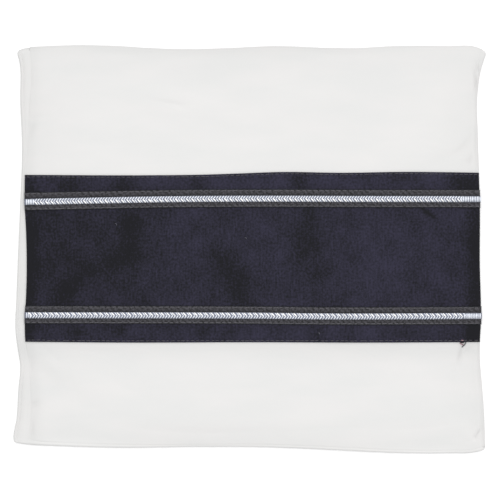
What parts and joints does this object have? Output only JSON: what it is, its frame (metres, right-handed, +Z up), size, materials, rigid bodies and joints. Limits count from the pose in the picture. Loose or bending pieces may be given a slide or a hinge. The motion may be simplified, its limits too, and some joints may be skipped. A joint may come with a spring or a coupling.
{
  "type": "tallit bag",
  "caption": "Flat sewn white cotton tallit bag with a navy band across its front and charcoal ribbons with raised silver braid along the band, lying on its back.",
  "frame": {"origin": "under the middle of the bag, on the surface that it lies on", "axes": "+X from the left side seam to the right one, +Y from the bottom seam to the mouth, +Z up out of the front"},
  "size_m": [0.3612, 0.3124, 0.0065],
  "materials": {
    "white_cotton": "matte plain weave",
    "navy_cloth": "soft sheen, fine upright ribs",
    "charcoal_ribbon": "woven, with a silver lurex braid"
  },
  "bodies": {
    "root": {"back_panel": "white_cotton", "front_panel": "white_cotton", "navy_band": "navy_cloth", "ribbon_upper": "charcoal_ribbon", "ribbon_lower": "charcoal_ribbon"}
  },
  "joints": []
}
